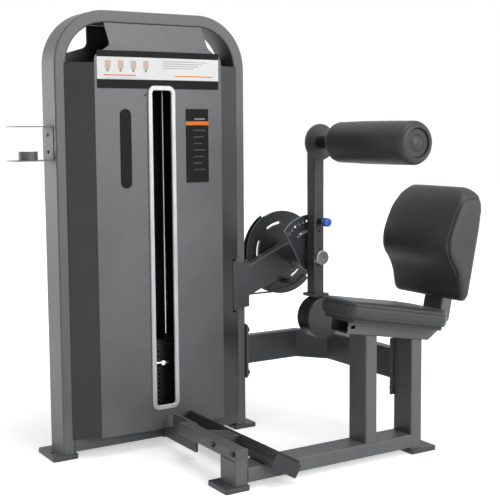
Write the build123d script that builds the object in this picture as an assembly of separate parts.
from build123d import *
import math
import os

os.makedirs("parts", exist_ok=True)

# Machine axes: X runs from the footrest towards the backrest, Y from the seat towards the tower's
# back, Z up. Sizes in mm, laid out from the tower's front left corner, then shifted at export.
CENTRE_X = 601.87
CENTRE_Y = -310

WALL = 3
GAP = 0.3
RUN = 0.05

# tower
TOWER_W = 768
TOWER_D = 125
TOWER_H = 1600
LEG_W = 44
BEND_R = 195
FOOT_T = 16
FOOT_W = 96
RAIL_Z0 = 22
RAIL_H = 50

# cover
PANEL_X0 = 129
PANEL_X1 = TOWER_W - PANEL_X0
PANEL_Y = -45
PANEL_BULGE = 7
PANEL_Z0 = RAIL_Z0 + RAIL_H
FLANK_TOP = 1413
NECK_Z = 1476
NECK_X0 = 188
SHEET = 3
WINDOW_W = 80
WINDOW_Z0 = 160
WINDOW_Z1 = 1320
BEZEL = 15

# weight stack
STACK_X = 392
LINE_Y = 66
PLATE_W = 232
PLATE_D = 100
PLATE_T = 17.3
PLATE_PITCH = 17.5
PLATE_COUNT = 16
LIFTED = 4
STACK_TOP = 391
ROD_SPREAD = 58
ROD_R = 8
ROD_TOP = 1385
SELECTOR_R = 11

# swing arm
PIVOT_X = 980
PIVOT_Z = 686
SHAFT_R = 20
ARM_W = 45
ARM_Y0 = -202
ARM_Y1 = -149
ARM_Z0 = 545
ARM_Z1 = 1165
ROLLER_Z = 1127
ROLLER_R = 76
ROLLER_Y0 = -768
ROLLER_Y1 = -325
DRUM_Z = 455
DRUM_R = 80
DRUM_Y0 = -242
DRUM_Y1 = -165
PIN_RADIUS = 138
PIN_R = 5

# cam
CAM_Y = LINE_Y
CAM_R = 163
CAM_T = 12
RIM_R = 172
RIM_T = 30
BELT_W = 22
BELT_T = 3
BELT_R = CAM_R + BELT_T / 2
PULLEY_R = 60

# cam beam and rear beam
BEAM_H = 114
BEAM_T = 50
BEAM_SLOPE = 22.9
CLAMP_T = 10
REAR_Z0 = 256
REAR_H = 112
REAR_T = 45

# seat unit
BASE_Y0 = -618
BASE_Y1 = -518
SEAT_Y = (BASE_Y0 + BASE_Y1) / 2
BASE_Z0 = 21
POST_T = 50
POST_FRONT_X = 345
POST_MID_X = 882
POST_REAR_X = 1089
FOOTBEAM_Z = 97
SEAT_TILT = 9.7
CHANNEL_X = 807
CHANNEL_Z = 518
CHANNEL_H = 46
SEAT_FRONT_X = 783
SEAT_L = 430
BOARD_T = 12
CUSHION_T = 56
LEAN = 11.7
LUMBAR_X = 1236
LUMBAR_Z = 570
LUMBAR_W = 374

# footrest bar
BAR_W = 111
BAR_H = 50
BAR_TILT = 30
BAR_X = 480
BAR_Z = 117.5
BAR_Y0 = -663
BAR_Y1 = -58

nodes = {}


def keep(name, *solids):
    # a node may be called for several times: its solids add up
    shift = Pos(-CENTRE_X, -CENTRE_Y, 0)
    for shape in solids:
        nodes.setdefault(name, []).extend(shift * solid for solid in shape.solids())


def block(x0, x1, y0, y1, z0, z1, round_edges=0):
    shape = Pos((x0 + x1) / 2, (y0 + y1) / 2, (z0 + z1) / 2) * Box(x1 - x0, y1 - y0, z1 - z0)
    return fillet(shape.edges(), round_edges) if round_edges else shape


def plane_y(y):
    return Plane((0, y, 0), x_dir=(1, 0, 0), z_dir=(0, -1, 0))


def front_plate(sketch, y0, y1):
    # a sketch drawn in X and Z, thick from y0 back to y1
    return extrude(plane_y(y1) * sketch, amount=y1 - y0)


def polygon(points):
    return make_face(Polyline(*points, close=True))


def rod_y(x, z, radius, y0, y1):
    return front_plate(Pos(x, z) * Circle(radius), y0, y1)


def rod_z(x, y, radius, z0, z1):
    return extrude(Plane((x, y, z0)) * Circle(radius), amount=z1 - z0)


def rod_x(y, z, radius, x0, x1):
    return extrude(Plane((x0, y, z), x_dir=(0, 1, 0), z_dir=(1, 0, 0)) * Circle(radius), amount=x1 - x0)


def hex_x(y, z, across, x0, x1):
    shape = RegularPolygon(across / 2, 6, major_radius=False)
    return extrude(Plane((x0, y, z), x_dir=(0, 1, 0), z_dir=(1, 0, 0)) * shape, amount=x1 - x0)


def tube_section(width, depth, wall=WALL, radius=6):
    outer = RectangleRounded(width, depth, radius)
    inner = RectangleRounded(width - 2 * wall, depth - 2 * wall, radius - wall)
    return outer - inner


def sector(radius_in, radius_out, angle_from, angle_to):
    # a ring sector, angles in degrees from X towards Z
    start, end = math.radians(angle_from), math.radians(angle_to)
    middle = (start + end) / 2

    def at(radius, angle):
        return (radius * math.cos(angle), radius * math.sin(angle))

    outer = ThreePointArc(at(radius_out, start), at(radius_out, middle), at(radius_out, end))
    inner = ThreePointArc(at(radius_in, end), at(radius_in, middle), at(radius_in, start))
    sides = [Line(outer @ 1, inner @ 0), Line(inner @ 1, outer @ 0)]
    return make_face([outer, sides[0], inner, sides[1]])


def arc_slot(radius, width, angle_from, angle_to):
    slot = sector(radius - width / 2, radius + width / 2, angle_from, angle_to)
    for angle in (angle_from, angle_to):
        rad = math.radians(angle)
        slot += Pos(radius * math.cos(rad), radius * math.sin(rad)) * Circle(width / 2)
    return slot


# ---- tower frame -------------------------------------------------------------------------------

def arch(width, height, radius):
    shape = Pos(TOWER_W / 2, FOOT_T + height / 2) * Rectangle(width, height)
    return fillet(shape.vertices().sort_by(Axis.Y)[-2:], radius)


def tower_frame():
    height = TOWER_H - FOOT_T
    outline = arch(TOWER_W, height, BEND_R)
    outline -= arch(TOWER_W - 2 * LEG_W, height - LEG_W, BEND_R - LEG_W)
    shell = front_plate(outline, 0, TOWER_D)
    shell = fillet(shell.edges().filter_by(lambda e: abs(e.center().Y) < 0.1
                                           or abs(e.center().Y - TOWER_D) < 0.1)
                   .filter_by(lambda e: e.center().Z > FOOT_T + 1), 7)
    inside = arch(TOWER_W - 2 * WALL, height - WALL, BEND_R - WALL)
    inside -= arch(TOWER_W - 2 * LEG_W + 2 * WALL, height - LEG_W + WALL, BEND_R - LEG_W + WALL)
    shell -= front_plate(inside, WALL + 2, TOWER_D - WALL - 2)
    belt_z = PIVOT_Z - BELT_R
    shell -= block(TOWER_W - LEG_W - 1, TOWER_W + 1, LINE_Y - 20, LINE_Y + 20, belt_z - 22, belt_z + 18)
    return shell


def foot_plate(x0, x1, y0, y1, hole_x, hole_y):
    plate = block(x0, x1, y0, y1, 0, FOOT_T)
    plate = fillet(plate.edges().filter_by(Axis.Z), 8)
    plate = fillet(plate.edges().group_by(Axis.Z)[-1], 2)
    return plate - rod_z(hole_x, hole_y, 7, -1, FOOT_T + 1)


def tower_parts():
    keep("tower_frame", tower_frame())
    rails = []
    for y0 in (0, TOWER_D - 46):
        rail = block(LEG_W, TOWER_W - LEG_W, y0, y0 + 46, RAIL_Z0, RAIL_Z0 + RAIL_H)
        rail = fillet(rail.edges().filter_by(Axis.X), 6)
        inner = block(LEG_W - 1, TOWER_W, y0 + WALL, y0 + 46 - WALL, RAIL_Z0 + WALL, RAIL_Z0 + RAIL_H - WALL)
        rails.append(rail - inner)
    keep("tower_rails", rails[0])
    keep("tower_rails", rails[1])
    overhang = FOOT_W - LEG_W - 10
    keep("tower_feet", foot_plate(-overhang, FOOT_W - overhang, -8, 150, -20, 62))
    keep("tower_feet", foot_plate(TOWER_W - FOOT_W + overhang, TOWER_W + overhang, -8, 150,
                                        TOWER_W + 20, 62))


# ---- covers ------------------------------------------------------------------------------------

def panel_arc(lift):
    # the curved front of the cover seen from above, lifted outwards by a little
    middle = (PANEL_X0 + PANEL_X1) / 2
    return ThreePointArc((PANEL_X0, PANEL_Y - lift), (middle, PANEL_Y - PANEL_BULGE - lift),
                         (PANEL_X1, PANEL_Y - lift))


def panel_strip(sketch, lift, thickness, z0, z1):
    # a curved sheet that lies on the panel, cut to an outline drawn in X and Z
    outer = panel_arc(lift + thickness)
    inner = panel_arc(lift)
    face = make_face([outer, Line(outer @ 1, inner @ 1), inner, Line(inner @ 0, outer @ 0)])
    return extrude(Plane((0, 0, z0)) * face, amount=z1 - z0) & front_plate(sketch, -90, 0)


def window_outline(grow=0):
    middle = (WINDOW_Z0 + WINDOW_Z1) / 2
    shape = RectangleRounded(WINDOW_W + 2 * grow, WINDOW_Z1 - WINDOW_Z0 + 2 * grow, 12 + grow)
    return Pos(TOWER_W / 2, middle) * shape


def cover_outline(inset, shoulder, neck):
    x0, x1 = inset, TOWER_W - inset
    top = TOWER_H - LEG_W
    shape = polygon([(x0, PANEL_Z0), (x1, PANEL_Z0), (x1, shoulder), (TOWER_W - neck, shoulder + 38),
                     (TOWER_W - neck, top), (neck, top), (neck, shoulder + 38), (x0, shoulder)])
    corners = shape.vertices().filter_by(lambda v: shoulder - 1 < v.Y < shoulder + 39)
    return fillet(corners, 24)


def cover_panel():
    whole = cover_outline(PANEL_X0 + 0.2, NECK_Z - 40, NECK_X0)
    low = panel_strip(whole - window_outline(), 0, SHEET, PANEL_Z0, NECK_Z)
    neck = Plane.YZ * polygon([(PANEL_Y - 5, NECK_Z - 4), (PANEL_Y - 9, NECK_Z - 4), (-SHEET, TOWER_H - LEG_W - 0.5),
                               (0, TOWER_H - LEG_W - 0.5)])
    neck = extrude(neck, amount=TOWER_W - NECK_X0) & front_plate(whole, -90, 0)
    return low + neck


def flank(mirrored):
    foot_x = LEG_W - 8
    points = [(foot_x, -0.2), (PANEL_X0, PANEL_Y), (PANEL_X0, PANEL_Y - SHEET), (foot_x, -SHEET - 0.2)]
    cap = [(foot_x, -0.2), (PANEL_X0, -0.2), (PANEL_X0, PANEL_Y)]
    if mirrored:
        points = [(TOWER_W - x, y) for x, y in points]
        cap = [(TOWER_W - x, y) for x, y in cap]
    sheet = extrude(Plane((0, 0, PANEL_Z0)) * polygon(points), amount=FLANK_TOP - PANEL_Z0)
    sheet += extrude(Plane((0, 0, FLANK_TOP - SHEET)) * polygon(cap), amount=SHEET)
    if mirrored:
        sheet -= block(700, TOWER_W, -60, 20, 470, 680)
    return sheet


def cover_parts():
    keep("cover_panel", cover_panel())
    keep("cover_flanks", flank(False))
    keep("cover_flanks", flank(True))
    back = cover_outline(LEG_W, 1440, 174)
    back &= arch(TOWER_W - 2 * LEG_W, TOWER_H - FOOT_T - LEG_W, BEND_R - LEG_W)
    keep("cover_back", front_plate(back, TOWER_D - 4, TOWER_D - 1))
    ring = window_outline(BEZEL) - window_outline(-2)
    frame = front_plate(ring, PANEL_Y - PANEL_BULGE - 11, PANEL_Y - PANEL_BULGE - SHEET)
    keep("window_bezel", chamfer(frame.faces().sort_by(Axis.Y)[0].edges(), 2.5))
    top_plate = Pos(TOWER_W / 2 - 2, 1390) * RectangleRounded(488, 132, 4)
    keep("placard_top", panel_strip(top_plate - window_outline(BEZEL + GAP), SHEET, 1.5, 1320, 1460))
    badge = Pos(242, 1111) * RectangleRounded(43, 282, 21)
    notice = Pos(532, 1118) * RectangleRounded(96, 270, 3)
    keep("placards_side", panel_strip(badge, SHEET, 1.5, 960, 1260))
    keep("placards_side", panel_strip(notice, SHEET, 1.5, 970, 1260))
    keep("frame_bolts", rod_y(320, 1302, 4, PANEL_Y - PANEL_BULGE - 5, PANEL_Y - PANEL_BULGE - 2.7))


# ---- weight stack ------------------------------------------------------------------------------

def stack_plate(index):
    top = STACK_TOP - PLATE_PITCH * (index + 1)
    y0 = LINE_Y - PLATE_D / 2
    plate = block(STACK_X - PLATE_W / 2, STACK_X + PLATE_W / 2, y0, y0 + PLATE_D, top - PLATE_T, top)
    plate = fillet(plate.edges().filter_by(Axis.Z), 4)
    for side in (-1, 1):
        plate -= rod_z(STACK_X + side * ROD_SPREAD, LINE_Y, ROD_R + 1.5, top - 30, top + 5)
    plate -= rod_z(STACK_X, LINE_Y, SELECTOR_R + 0.5, top - 30, top + 5)
    plate -= rod_y(STACK_X, top - PLATE_T / 2, PIN_R + RUN, y0 - 1, y0 + 45)
    return plate


def head_plate():
    top = STACK_TOP
    y0 = LINE_Y - PLATE_D / 2
    plate = block(STACK_X - PLATE_W / 2, STACK_X + PLATE_W / 2, y0, y0 + PLATE_D, top - PLATE_T, top, 2)
    for side in (-1, 1):
        x = STACK_X + side * ROD_SPREAD
        plate -= rod_z(x, LINE_Y, ROD_R + 6, top - 30, top + 5)
    return plate - rod_z(STACK_X, LINE_Y, SELECTOR_R, top - 30, top + 5)


def stack_parts():
    tray_z = PANEL_Z0
    tray = block(STACK_X - 150, STACK_X + 150, 2, TOWER_D - 5, tray_z, tray_z + 8)
    for side in (-1, 1):
        tray -= rod_z(STACK_X + side * ROD_SPREAD, LINE_Y, ROD_R, tray_z - 1, tray_z + 9)
    bridge = block(LEG_W, TOWER_W - LEG_W, LINE_Y - 28, LINE_Y + 28, ROD_TOP - 8, ROD_TOP)
    for side in (-1, 1):
        bridge -= rod_z(STACK_X + side * ROD_SPREAD, LINE_Y, ROD_R, ROD_TOP - 9, ROD_TOP + 1)
    for x in (STACK_X, STACK_X + 2 * PULLEY_R + BELT_T):
        bridge -= block(x - 8, x + 8, LINE_Y - 16, LINE_Y + 16, ROD_TOP - 9, ROD_TOP + 1)
    keep("stack_mounts", tray, bridge)
    rods = [rod_z(STACK_X + s * ROD_SPREAD, LINE_Y, ROD_R, tray_z, ROD_TOP) for s in (-1, 1)]
    keep("guide_rods", *rods)
    lowest = STACK_TOP - PLATE_PITCH * PLATE_COUNT - PLATE_T
    buffers = []
    for side in (-1, 1):
        x = STACK_X + side * ROD_SPREAD
        pad = rod_z(x, LINE_Y, 20, tray_z + 8, lowest) - rod_z(x, LINE_Y, ROD_R + 0.5, tray_z, lowest + 1)
        buffers.append(pad)
    keep("stack_buffers", *buffers)
    keep("stack_plates_lifted", *[stack_plate(i) for i in range(LIFTED)])
    keep("stack_plates_resting", *[stack_plate(i) for i in range(LIFTED, PLATE_COUNT)])
    keep("stack_head", head_plate())
    collars = []
    for side in (-1, 1):
        x = STACK_X + side * ROD_SPREAD
        collar = rod_z(x, LINE_Y, ROD_R + 6, STACK_TOP - PLATE_T, STACK_TOP + 14)
        collar += rod_z(x, LINE_Y, ROD_R + 10, STACK_TOP, STACK_TOP + 6)
        collars.append(collar - rod_z(x, LINE_Y, ROD_R + RUN, STACK_TOP - 30, STACK_TOP + 20))
    keep("stack_head", *collars)
    bottom = STACK_TOP - PLATE_PITCH * PLATE_COUNT
    selector = rod_z(STACK_X, LINE_Y, SELECTOR_R, bottom, STACK_TOP + 30)
    for i in range(PLATE_COUNT):
        z = STACK_TOP - PLATE_PITCH * (i + 1) - PLATE_T / 2
        selector -= rod_y(STACK_X, z, PIN_R + RUN, LINE_Y - 20, LINE_Y + 20)
    keep("selector_rod", selector)
    clip = block(STACK_X - 14, STACK_X + 14, LINE_Y - 14, LINE_Y + 14, STACK_TOP + 30, STACK_TOP + 62, 3)
    keep("selector_rod", clip)
    pin_z = STACK_TOP - PLATE_PITCH * LIFTED - PLATE_T / 2
    front = LINE_Y - PLATE_D / 2
    pin = rod_y(STACK_X, pin_z, PIN_R, front - 20, LINE_Y + SELECTOR_R - 1)
    handle = rod_y(STACK_X, pin_z, 9, front - 40, front - 20)
    bar = rod_x(front - 32, pin_z, 5, STACK_X - 26, STACK_X + 26)
    keep("selector_pin", pin + handle + bar)


# ---- belt and pulleys ----------------------------------------------------------------------------

UP_X = STACK_X + 2 * (PULLEY_R + BELT_T / 2)
BELT_Z = PIVOT_Z - BELT_R
TOP_PULLEY = (STACK_X + PULLEY_R + BELT_T / 2, 1470)
LOW_PULLEY = (UP_X + PULLEY_R + BELT_T / 2, BELT_Z + PULLEY_R + BELT_T / 2)


def pulley(centre):
    x, z = centre
    wheel = rod_y(x, z, PULLEY_R + 5, LINE_Y - 15, LINE_Y + 15)
    wheel -= rod_y(x, z, PULLEY_R + 8, LINE_Y - 12, LINE_Y + 12) - rod_y(x, z, PULLEY_R - GAP, LINE_Y - 13, LINE_Y + 13)
    for i in range(5):
        angle = math.radians(72 * i + 18)
        wheel -= rod_y(x + 34 * math.cos(angle), z + 34 * math.sin(angle), 11, LINE_Y - 16, LINE_Y + 16)
    return wheel - rod_y(x, z, 10 + GAP, LINE_Y - 16, LINE_Y + 16)


def fork(centre, reach_z):
    x, z = centre
    cheeks = []
    for y0 in (LINE_Y - 24, LINE_Y + 18):
        low, high = sorted((z, reach_z))
        cheek = block(x - 25, x + 25, y0, y0 + 6, low, high)
        cheek += rod_y(x, z, 25, y0, y0 + 6)
        cheeks.append(cheek - rod_y(x, z, 10, y0 - 1, y0 + 7))
    end = reach_z - 6 if reach_z > z else reach_z
    bridge = block(x - 25, x + 25, LINE_Y - 24, LINE_Y + 24, end, end + 6)
    return cheeks[0] + bridge + cheeks[1]


def belt_path():
    r = BELT_R
    anchor = math.radians(305)
    low = math.radians(287)
    wrap = ThreePointArc((PIVOT_X + r * math.cos(anchor), PIVOT_Z + r * math.sin(anchor)),
                         (PIVOT_X + r * math.cos(low), PIVOT_Z + r * math.sin(low)),
                         (PIVOT_X, BELT_Z))
    radius = PULLEY_R + BELT_T / 2
    half = radius * math.sqrt(0.5)
    run = Line(wrap @ 1, (LOW_PULLEY[0], BELT_Z))
    turn = ThreePointArc(run @ 1, (LOW_PULLEY[0] - half, LOW_PULLEY[1] - half), (UP_X, LOW_PULLEY[1]))
    rise = Line(turn @ 1, (UP_X, TOP_PULLEY[1]))
    over = ThreePointArc(rise @ 1, (TOP_PULLEY[0], TOP_PULLEY[1] + radius), (STACK_X, TOP_PULLEY[1]))
    drop = Line(over @ 1, (STACK_X, STACK_TOP + 62))
    return Wire([wrap, run, turn, rise, over, drop])


def belt():
    path = plane_y(LINE_Y) * belt_path()
    start = path @ 0
    along = path % 0
    profile = Plane(start, x_dir=(0, 1, 0), z_dir=along) * Rectangle(BELT_W, BELT_T)
    return sweep(profile, path, transition=Transition.ROUND)


def belt_parts():
    for name, centre, reach in (("top", TOP_PULLEY, TOWER_H - LEG_W), ("low", LOW_PULLEY, PANEL_Z0)):
        keep(f"{name}_pulley", pulley(centre))
        keep("pulley_forks", fork(centre, reach))
        keep("pulley_axles", rod_y(centre[0], centre[1], 10, LINE_Y - 30, LINE_Y + 30))
    keep("belt", belt())


# ---- bottle holder ---------------------------------------------------------------------------------

def holder_parts():
    y0, y1 = 20, 118
    z0, z1 = 1071, 1193
    plate = block(-SHEET, 0, y0, y1, z0, z1)
    reach = 138
    shelf = block(-reach, -SHEET, y0 + 4, y1 - 4, z1 - SHEET, z1)
    shelf -= rod_z(-78, (y0 + y1) / 2, 40, z1 - 10, z1 + 5)
    lower = block(-reach, -SHEET, y0 + 4, y1 - 4, z0, z0 + SHEET)
    lip = rod_z(-78, (y0 + y1) / 2, 34, z0, z0 + 34) - rod_z(-78, (y0 + y1) / 2, 31, z0 + SHEET, z0 + 40)
    lip &= block(-140, 0, y0, (y0 + y1) / 2, z0, z0 + 40)
    keep("bottle_holder", plate + shelf + lower + lip)
    keep("frame_bolts", *[rod_x(70, z, 6, -SHEET - 4, -SHEET) for z in (1102, 1162)])


# ---- cam beam, clamp and bearing housing -------------------------------------------------------------

BEAM_DIR = math.radians(BEAM_SLOPE)
BEAM_START = (TOWER_W + CLAMP_T, 583)
BEAM_END_X = 998


def clamp_parts():
    outline = polygon([(706, 477), (TOWER_W + CLAMP_T, 489), (TOWER_W + CLAMP_T, 655), (706, 671)])
    front = front_plate(outline, -14, 0)
    side = block(TOWER_W, TOWER_W + CLAMP_T, 0, TOWER_D, 495, 670)
    belt_gap = block(TOWER_W - 2, TOWER_W + CLAMP_T + 2, LINE_Y - 20, TOWER_D + 5, 480, BELT_Z + 20)
    keep("beam_clamp", front + (side - belt_gap))
    keep("frame_bolts", *[hex_x(100, z, 17, TOWER_W + CLAMP_T, TOWER_W + CLAMP_T + 8) for z in (575, 650)])


def beam_plane(distance):
    ux, uz = math.cos(BEAM_DIR), math.sin(BEAM_DIR)
    origin = (BEAM_START[0] + distance * ux, BEAM_T / 2, BEAM_START[1] + distance * uz)
    return Plane(origin, x_dir=(0, 1, 0), z_dir=(ux, 0, uz))


def cam_beam():
    length = (BEAM_END_X - BEAM_START[0]) / math.cos(BEAM_DIR)
    beam = extrude(beam_plane(-40) * tube_section(BEAM_T, BEAM_H, 4, 7), amount=length + 40)
    beam += extrude(beam_plane(length - 4) * RectangleRounded(BEAM_T, BEAM_H, 7), amount=4)
    beam &= block(TOWER_W + CLAMP_T, 1100, -5, 60, 400, 800)
    return beam - rod_y(PIVOT_X, PIVOT_Z, 36, -10, 60)


def beam_parts():
    clamp_parts()
    keep("cam_beam", cam_beam())
    housing = rod_y(PIVOT_X, PIVOT_Z, 36, ARM_Y1 + 12, BEAM_T)
    keep("bearing_housing", housing - rod_y(PIVOT_X, PIVOT_Z, 27, -200, 100))
    bushes = []
    for y0, y1 in ((ARM_Y1 + 12, ARM_Y1 + 42), (BEAM_T - 30, BEAM_T)):
        bushes.append(rod_y(PIVOT_X, PIVOT_Z, 27, y0, y1) - rod_y(PIVOT_X, PIVOT_Z, SHAFT_R + RUN, y0 - 1, y1 + 1))
    keep("bearing_bushes", *bushes)
    lug = polygon([(980, 640), (1024, 612), (1040, 622), (1002, 712), (984, 716)])
    lug -= Pos(1022, 630) * Circle(5)
    lug -= Pos(PIVOT_X, PIVOT_Z) * Circle(37)
    keep("beam_brackets", front_plate(lug, -6, 0))
    bracket = polygon([(905, 576), (990, 611), (972, 566), (944, 560)])
    solid_beam = extrude(beam_plane(-40) * RectangleRounded(BEAM_T, BEAM_H, 7), amount=400)
    keep("beam_brackets", front_plate(bracket, 12, 20) - solid_beam)
    keep("stop_bumper", rod_y(956, 572, 11, -34, 12))


def rear_beam():
    chamfer_x, corner_y = 1020, -95
    y_mid = REAR_T / 2
    x_mid = POST_REAR_X + REAR_T / 2
    end_y = BASE_Y1 + 8
    path = Wire(Polyline((TOWER_W + 8, y_mid, 0), (chamfer_x, y_mid, 0), (x_mid, corner_y, 0), (x_mid, end_y, 0)))
    path = Pos(0, 0, REAR_Z0 + REAR_H / 2) * path
    section = Plane((TOWER_W + 8, y_mid, REAR_Z0 + REAR_H / 2), x_dir=(0, 1, 0), z_dir=(1, 0, 0))
    outer = sweep(section * RectangleRounded(REAR_T, REAR_H, 7), path, transition=Transition.RIGHT)
    inner = sweep(section * RectangleRounded(REAR_T - 2 * WALL, REAR_H - 2 * WALL, 4), path,
                  transition=Transition.RIGHT)
    return outer - inner


def rear_parts():
    keep("rear_beam", rear_beam())
    plate = block(TOWER_W, TOWER_W + 8, -8, 62, 200, 415)
    plate = chamfer(plate.edges().filter_by(Axis.X), 8)
    keep("rear_plates", plate)
    plate = block(POST_REAR_X - 12, POST_REAR_X + 58, BASE_Y1, BASE_Y1 + 8, 200, 411)
    keep("rear_plates", plate)
    bolts = []
    for z in (222, 392):
        for y in (6, 46):
            bolts.append(hex_x(y, z, 19, TOWER_W + 8, TOWER_W + 17))
    keep("frame_bolts", *bolts)
    bolts = []
    for z in (222, 388):
        for x in (POST_REAR_X + 4, POST_REAR_X + 42):
            nut = Plane((x, BASE_Y1 + 8, z), x_dir=(1, 0, 0), z_dir=(0, 1, 0))
            bolts.append(extrude(nut * RegularPolygon(9.5, 6, major_radius=False), amount=9))
    keep("frame_bolts", *bolts)


# ---- swing arm -----------------------------------------------------------------------------------

def swing_parts():
    y_mid = (ARM_Y0 + ARM_Y1) / 2
    section = Plane((PIVOT_X, y_mid, ARM_Z0)) * tube_section(ARM_W, ARM_Y1 - ARM_Y0, 3.5, 6)
    arm = extrude(section, amount=ARM_Z1 - ARM_Z0)
    arm += block(PIVOT_X - ARM_W / 2 + 1, PIVOT_X + ARM_W / 2 - 1, ARM_Y0 + 1, ARM_Y1 - 1, ARM_Z1 - 4, ARM_Z1)
    arm -= rod_y(PIVOT_X, PIVOT_Z, SHAFT_R, ARM_Y0 - 5, ARM_Y1 + 5)
    arm -= rod_y(PIVOT_X, PIVOT_Z + PIN_RADIUS, PIN_R + 4, ARM_Y0 - 5, ARM_Y1 + 5)
    arm -= rod_y(PIVOT_X, PIVOT_Z + PIN_RADIUS - 38, 4, ARM_Y0 - 5, ARM_Y0 + 5)
    arm -= rod_y(PIVOT_X, ROLLER_Z, 16, ARM_Y0 - 5, ARM_Y1 + 5)
    keep("arm_tube", arm)
    keep("arm_plates", fillet(rod_y(PIVOT_X, ROLLER_Z, 69, ARM_Y0 - 8, ARM_Y0).edges(), 2)
         - rod_y(PIVOT_X, ROLLER_Z, 16, -300, -100))
    shaft = rod_y(PIVOT_X, ROLLER_Z, 16, ROLLER_Y0 + 16, ARM_Y1)
    shaft += rod_y(PIVOT_X, ROLLER_Z, 24, ROLLER_Y1 + 2, ARM_Y0 - 8)
    keep("roller_shaft", shaft)
    flange = block(PIVOT_X - 36, PIVOT_X + 36, ARM_Y0 - 12, ARM_Y1 + 6, ARM_Z0 - 11, ARM_Z0)
    drum = rod_y(PIVOT_X, DRUM_Z, DRUM_R, DRUM_Y0 + 4, DRUM_Y1)
    keep("arm_plates", flange - drum)
    keep("drum_body", fillet(drum.edges(), 3))
    keep("drum_face", chamfer(rod_y(PIVOT_X, DRUM_Z, DRUM_R - 3, DRUM_Y0, DRUM_Y0 + 4).edges(), 1))
    pivot = rod_y(PIVOT_X, PIVOT_Z, SHAFT_R, ARM_Y0 - 4, CAM_Y + 30)
    keep("pivot_shaft", pivot)
    cap = chamfer(rod_y(PIVOT_X, PIVOT_Z, 28, ARM_Y0 - 26, ARM_Y0 - 4).faces().sort_by(Axis.Y)[0].edges(), 4)
    cap -= rod_y(PIVOT_X, PIVOT_Z, 8, ARM_Y0 - 40, ARM_Y0 - 21)
    cap += rod_y(PIVOT_X, PIVOT_Z, 28, ARM_Y0 - 6, ARM_Y0) - rod_y(PIVOT_X, PIVOT_Z, SHAFT_R, -300, 0)
    keep("pivot_cap", cap)
    sleeve = rod_y(PIVOT_X, PIVOT_Z + PIN_RADIUS, PIN_R + 4, ARM_Y0 - 22, ARM_Y1)
    sleeve += rod_y(PIVOT_X, PIVOT_Z + PIN_RADIUS, 12, ARM_Y0 - 20, ARM_Y0)
    keep("pull_pin_sleeve", sleeve - rod_y(PIVOT_X, PIVOT_Z + PIN_RADIUS, PIN_R + RUN, -300, 0))
    pin = rod_y(PIVOT_X, PIVOT_Z + PIN_RADIUS, PIN_R, ARM_Y0 - 30, ARM_Y1 + 7)
    keep("pull_pin", pin)
    knob = rod_y(PIVOT_X, PIVOT_Z + PIN_RADIUS, 17, ARM_Y0 - 62, ARM_Y0 - 28)
    knob = fillet(knob.edges(), 8)
    keep("pull_knob", knob - rod_y(PIVOT_X, PIVOT_Z + PIN_RADIUS, PIN_R, ARM_Y0 - 30, 0))


def sector_plate():
    shape = sector(60, 162, 84, 141) + Circle(60)
    shape += polygon([(0, 0), (60, 0), (162 * math.cos(math.radians(84)), 162 * math.sin(math.radians(84))),
                      (0, 120)])
    shape += polygon([(0, 60), (162 * math.cos(math.radians(140)), 162 * math.sin(math.radians(140))),
                      (-56, -20), (0, -20)])
    shape -= Circle(SHAFT_R)
    for i in range(7):
        angle = math.radians(90 + 8 * i)
        shape -= Pos(PIN_RADIUS * math.cos(angle), PIN_RADIUS * math.sin(angle)) * Circle(PIN_R + RUN)
    shape -= arc_slot(100, 7, 98, 128)
    y0 = ARM_Y1 + 2.5
    return front_plate(Pos(PIVOT_X, PIVOT_Z) * shape, y0, y0 + 6)


def cam_disc():
    web = Circle(CAM_R) - Circle(SHAFT_R)
    for centre in (46, 110, 173, 241, 311):
        web -= arc_slot(116, 11, centre - 15, centre + 15)
    disc = front_plate(web, CAM_Y - CAM_T / 2, CAM_Y + CAM_T / 2)
    rim = front_plate(sector(150, RIM_R, 121, 316), CAM_Y - RIM_T / 2, CAM_Y + RIM_T / 2)
    half = BELT_W / 2 + 1
    groove = front_plate(sector(CAM_R, RIM_R + 5, 100, 314), CAM_Y - half, CAM_Y + half)
    hub = front_plate(Circle(40) - Circle(SHAFT_R), BEAM_T + 1, CAM_Y + RIM_T / 2)
    body = Pos(PIVOT_X, 0, PIVOT_Z) * (disc + rim - groove + hub)
    return body


def cam_parts():
    keep("sector_plate", sector_plate())
    keep("cam_disc", cam_disc())
    angle = 307
    clip = front_plate(sector(CAM_R + BELT_T + 0.2, RIM_R - 1, angle - 6, angle + 5), CAM_Y - 11, CAM_Y + 11)
    keep("cam_disc", Pos(PIVOT_X, 0, PIVOT_Z) * clip)


# ---- roller --------------------------------------------------------------------------------------

def roller_parts():
    foam = rod_y(PIVOT_X, ROLLER_Z, ROLLER_R, ROLLER_Y0, ROLLER_Y1)
    foam = fillet(foam.edges(), 24)
    foam -= rod_y(PIVOT_X, ROLLER_Z, 26, ROLLER_Y0 - 1, ROLLER_Y1 + 1)
    foam -= rod_y(PIVOT_X, ROLLER_Z, 50, ROLLER_Y0 - 1, ROLLER_Y0 + 12)
    keep("roller_foam", foam)
    core = rod_y(PIVOT_X, ROLLER_Z, 25.7, ROLLER_Y0 + 16, ROLLER_Y1)
    keep("roller_core", core - rod_y(PIVOT_X, ROLLER_Z, 16 + GAP, ROLLER_Y0, ROLLER_Y1 + 1))
    cap = rod_y(PIVOT_X, ROLLER_Z, 47, ROLLER_Y0 + 8, ROLLER_Y0 + 11.7)
    dome = Pos(PIVOT_X, ROLLER_Y0 + 48, ROLLER_Z) * Sphere(50)
    dome &= rod_y(PIVOT_X, ROLLER_Z, 34, ROLLER_Y0 - 20, ROLLER_Y0 + 9)
    cap += dome
    cap += rod_y(PIVOT_X, ROLLER_Z, 25.7, ROLLER_Y0 + 11, ROLLER_Y0 + 15.5)
    keep("roller_cap", cap)


# ---- seat unit -----------------------------------------------------------------------------------

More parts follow.
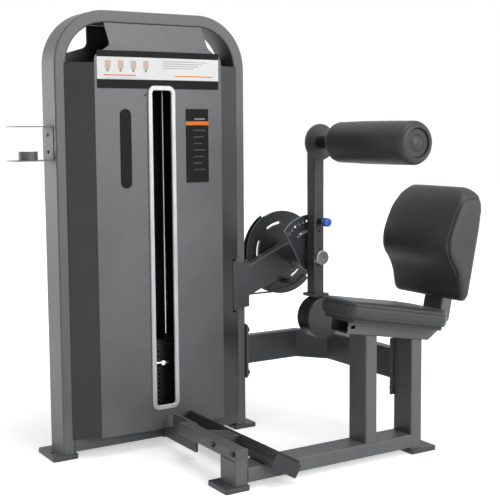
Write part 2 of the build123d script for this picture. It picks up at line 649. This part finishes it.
TILT = math.radians(SEAT_TILT)
LEAN_RAD = math.radians(LEAN)


def local(x, z, tilt):
    # local x runs down the slope, local z square to it
    return Plane((x, SEAT_Y, z), x_dir=(math.cos(tilt), 0, -math.sin(tilt)), z_dir=(math.sin(tilt), 0, math.cos(tilt)))


def below_channel():
    # everything under the channel's bottom face
    plane = local(CHANNEL_X, CHANNEL_Z, TILT)
    return plane.location * Pos(300, 0, -CHANNEL_H - 500) * Box(1600, 300, 1000)


def cut_line():
    # the block that trims the lower rear corner of channel and upright
    slope = math.atan2(478 - 417, 1269 - 1175)
    plane = Plane((1175, SEAT_Y, 417), x_dir=(math.cos(slope), 0, math.sin(slope)),
                  z_dir=(-math.sin(slope), 0, math.cos(slope)))
    return plane.location * Pos(0, 0, -300) * Box(900, 300, 600)


def post(x, z0, z1, cap_top=False):
    section = Plane((x + POST_T / 2, SEAT_Y, z0)) * tube_section(POST_T, BASE_Y1 - BASE_Y0)
    tube = extrude(section, amount=z1 - z0)
    if cap_top:
        tube += block(x + 1, x + POST_T - 1, BASE_Y0 + 1, BASE_Y1 - 1, z1 - 3, z1)
    return tube


def channel_envelope():
    plane = local(CHANNEL_X, CHANNEL_Z, TILT)
    return plane.location * Pos(240, 0, -CHANNEL_H / 2) * Box(480, 100, CHANNEL_H)


def seat_frame_parts():
    keep("posts", post(POST_FRONT_X, FOOT_T, FOOTBEAM_Z))
    keep("posts", post(POST_MID_X, BASE_Z0 + POST_T, 520) & below_channel())
    keep("posts", post(POST_REAR_X, FOOT_T, 520) & below_channel())
    x0, x1 = POST_FRONT_X + POST_T, POST_REAR_X
    section = Plane((x0, SEAT_Y, BASE_Z0 + POST_T / 2), x_dir=(0, 1, 0), z_dir=(1, 0, 0))
    keep("base_tube", extrude(section * tube_section(BASE_Y1 - BASE_Y0, POST_T), amount=x1 - x0))
    keep("post_feet", foot_plate(303, 396, -630, -506, 325, SEAT_Y))
    keep("post_feet", foot_plate(1086, 1200, -630, -506, 1172, SEAT_Y))
    plane = local(CHANNEL_X, CHANNEL_Z, TILT)
    start = Plane(plane.from_local_coords((0, 0, -CHANNEL_H / 2)), x_dir=(0, 1, 0), z_dir=plane.x_dir)
    channel = extrude(start * tube_section(100, CHANNEL_H), amount=470) - cut_line()
    channel -= block(815, 835, BASE_Y0 - 5, BASE_Y0 + 3.5, 488, 500)
    top_plane = Plane((LUMBAR_X, SEAT_Y, LUMBAR_Z), x_dir=(math.cos(LEAN_RAD), 0, -math.sin(LEAN_RAD)),
                      z_dir=(math.sin(LEAN_RAD), 0, math.cos(LEAN_RAD)))
    envelope = top_plane.location * Pos(POST_T / 2, 0, 60) * Box(POST_T, 100, 480)
    keep("seat_channel", channel - envelope)
    section = Plane(top_plane.from_local_coords((POST_T / 2, 0, -180)), x_dir=top_plane.x_dir, z_dir=top_plane.z_dir)
    upright = extrude(section * tube_section(POST_T, 100), amount=460) - cut_line()
    upright += top_plane.location * Pos(POST_T / 2, 0, 278) * Box(POST_T - 2, 98, 4)
    keep("back_upright", upright)


def seat_plan(inset):
    half = [(inset, 94 - inset), (250, 122 - inset), (378, 141 - inset), (SEAT_L - inset, 92 - inset)]
    points = [(x, -y) for x, y in half] + [(x, y) for x, y in reversed(half)]
    shape = polygon(points)
    corners = shape.vertices().sort_by(Axis.X)
    shape = fillet(corners[-4:], 34 - inset / 2)
    return fillet(shape.vertices().sort_by(Axis.X)[:2], 26 - inset / 2)


def cushion_parts():
    plane = local(CHANNEL_X, CHANNEL_Z, TILT)
    offset = (SEAT_FRONT_X - CHANNEL_X) / math.cos(TILT)
    base = Plane(plane.from_local_coords((offset, 0, 0)), x_dir=plane.x_dir, z_dir=plane.z_dir)
    board = extrude(base * seat_plan(9), amount=BOARD_T)
    keep("cushion_boards", board)
    upper = Plane(base.from_local_coords((0, 0, BOARD_T + GAP)), x_dir=plane.x_dir, z_dir=plane.z_dir)
    cushion = extrude(upper * seat_plan(0), amount=CUSHION_T - GAP)
    keep("seat_cushion", fillet(cushion.faces().sort_by(Axis.Z)[-1].edges(), 12))


def back_front_curve(clear=0):
    # front of the back cushion, from its foot to its top, seen from the side
    return Spline((1203, 572), (1196, 643), (1177, 690), (1150, 728), (1142, 762), (1150, 806), (1170, 852),
                  (1203, 916), (1238, 958))


def back_line_x(z, shift):
    return LUMBAR_X + (z - LUMBAR_Z) * math.tan(LEAN_RAD) - shift


def back_cushion():
    front = back_front_curve()
    z0, z1 = 568, 952
    back_low = (back_line_x(z0, BOARD_T + GAP), z0)
    back_high = (back_line_x(z1 - 40, BOARD_T + GAP), z1 - 40)
    crown = ThreePointArc(back_high, (back_high[0] - 8, z1 - 6), front @ 1)
    side = make_face([front, crown, Line(back_high, back_low), Line(back_low, front @ 0)])
    pad = front_plate(side, SEAT_Y - LUMBAR_W / 2, SEAT_Y + LUMBAR_W / 2)
    pad = Pos(0, 0, 0) * pad
    mid_z = (z0 + 965) / 2
    outline = Plane((1000, SEAT_Y, mid_z), x_dir=(0, 1, 0), z_dir=(1, 0, 0)) * Rectangle(LUMBAR_W, 965 - z0 + 8)
    block_shape = extrude(outline, amount=500)
    edges = block_shape.edges().filter_by(Axis.X).sort_by(Axis.Z)
    block_shape = fillet(edges[-2:], 86)
    block_shape = fillet(block_shape.edges().filter_by(Axis.X).sort_by(Axis.Z)[:2], 26)
    return pad & block_shape


def back_parts():
    frame = Plane((back_line_x(LUMBAR_Z, BOARD_T), SEAT_Y, LUMBAR_Z), x_dir=(0, 1, 0),
                  z_dir=(math.cos(LEAN_RAD), 0, -math.sin(LEAN_RAD)))
    outline = Pos(0, 168) * Rectangle(LUMBAR_W - 24, 312)
    outline = fillet(outline.vertices(), 60)
    keep("cushion_boards", extrude(frame * outline, amount=BOARD_T * math.cos(LEAN_RAD)))
    keep("back_cushion", back_cushion())


# ---- footrest ------------------------------------------------------------------------------------

def bar_plane(y):
    # local x runs along the broad face away from the tower side, local y is square to it, pointing up
    tilt = math.radians(BAR_TILT)
    return Plane((BAR_X, y, BAR_Z), x_dir=(math.cos(tilt), 0, -math.sin(tilt)), z_dir=(0, -1, 0))


def bar_length(sketch, y0, y1):
    return extrude(bar_plane(y1) * sketch, amount=y1 - y0)


def foot_pad(y0, y1):
    thick = 9
    wrap = 24
    base = polygon([(-thick, -wrap), (0, -wrap), (0, 0), (BAR_W - 4, 0), (BAR_W - 4, thick - 3), (-thick, thick - 3)])
    base = fillet(base.vertices().sort_by(Axis.X)[0:2].sort_by(Axis.Y)[-1:], 5)
    pad = bar_length(base, y0, y1)
    rib = polygon([(-thick - 1.5, -wrap), (-thick + 1, -wrap), (-thick + 1, thick - 4), (BAR_W - 4, thick - 4),
                   (BAR_W - 4, thick), (-thick + 2, thick), (-thick - 1.5, thick - 3)])
    count = 20
    pitch = (y1 - y0) / count
    for i in range(count):
        start = y0 + (i + 0.2) * pitch
        pad += bar_length(rib, start, start + 0.55 * pitch)
    return pad


def footrest_parts():
    centre = Pos(BAR_W / 2, -BAR_H / 2)
    base = block(POST_FRONT_X, POST_REAR_X, BASE_Y0 - GAP, BASE_Y1 + GAP, 0, BASE_Z0 + POST_T)
    bar = bar_length(centre * tube_section(BAR_W, BAR_H, 4, 7), BAR_Y0 + 4, BAR_Y1 - 4) - base
    keep("foot_bar", bar)
    caps = []
    for y0, y1 in ((BAR_Y0, BAR_Y0 + 4), (BAR_Y1 - 4, BAR_Y1)):
        caps.append(bar_length(centre * RectangleRounded(BAR_W, BAR_H, 7), y0, y1))
    keep("foot_bar_caps", *caps)
    keep("foot_pads", foot_pad(-335, BAR_Y1 - 10))
    keep("foot_pads", foot_pad(BAR_Y0 + 10, -437) - base)
    beam_y1 = -225
    x0 = POST_FRONT_X
    section = Plane((x0 + POST_T / 2, BASE_Y0, FOOTBEAM_Z + 20), x_dir=(1, 0, 0), z_dir=(0, 1, 0))
    beam = extrude(section * tube_section(POST_T, 40), amount=beam_y1 - BASE_Y0)
    beam += block(x0 + 1, x0 + POST_T - 1, BASE_Y0, BASE_Y0 + 3, FOOTBEAM_Z + 1, FOOTBEAM_Z + 39)
    keep("foot_beam", beam)
    link = polygon([(x0 + POST_T, -260), (x0 + POST_T + 10, -260), (x0 + POST_T + 10, -8), (x0 + POST_T, -8)])
    arm = extrude(Plane((0, 0, RAIL_Z0 + 8)) * link, amount=70)
    arm = arm - block(x0, x0 + 100, -90, 0, 66, 140) + block(x0 + POST_T, x0 + POST_T + 10, -260, -90, 60, 134)
    arm += block(x0 + POST_T, x0 + POST_T + 60, -8, 0, RAIL_Z0, 68)
    keep("foot_links", arm)
    bolts = [rod_y(x0 + POST_T + dx, 46, 9, -20, -8) for dx in (26, 46)]
    keep("frame_bolts", *bolts)
    saddles = []
    for y0 in (-425, -362):
        saddle = polygon([(x0 + POST_T, FOOTBEAM_Z + 4), (BAR_X - 22, FOOTBEAM_Z - 22), (BAR_X, BAR_Z),
                          (BAR_X - 15, BAR_Z + 5), (x0 + POST_T, FOOTBEAM_Z + 38)])
        plate = front_plate(saddle, y0, y0 + 10)
        body = bar_length(Pos(BAR_W / 2, -BAR_H / 2) * RectangleRounded(BAR_W, BAR_H, 7), BAR_Y0, BAR_Y1)
        saddles.append(plate - body)
    keep("foot_links", *saddles)
    clamp = block(x0 - 6, x0, -640, -460, 116, 138)
    keep("foot_links", fillet(clamp.edges().filter_by(Axis.X), 5))
    nuts = [hex_x(y, 127, 16, x0 - 15, x0 - 6) for y in (-486, -614)]
    keep("frame_bolts", *nuts)


tower_parts()
cover_parts()
stack_parts()
belt_parts()
holder_parts()
beam_parts()
rear_parts()
swing_parts()
cam_parts()
roller_parts()
seat_frame_parts()
cushion_parts()
back_parts()
footrest_parts()

bodies = []
for name, solids in nodes.items():
    body = solids[0] if len(solids) == 1 else Compound(children=solids)
    body.label = name
    bodies.append(body)
    export_step(body, f"parts/{name}.step")

box = Compound(children=bodies).bounding_box()
print("nodes", len(nodes))
print("size", [round(v, 2) for v in box.size], "centre", [round(v, 2) for v in box.center()])
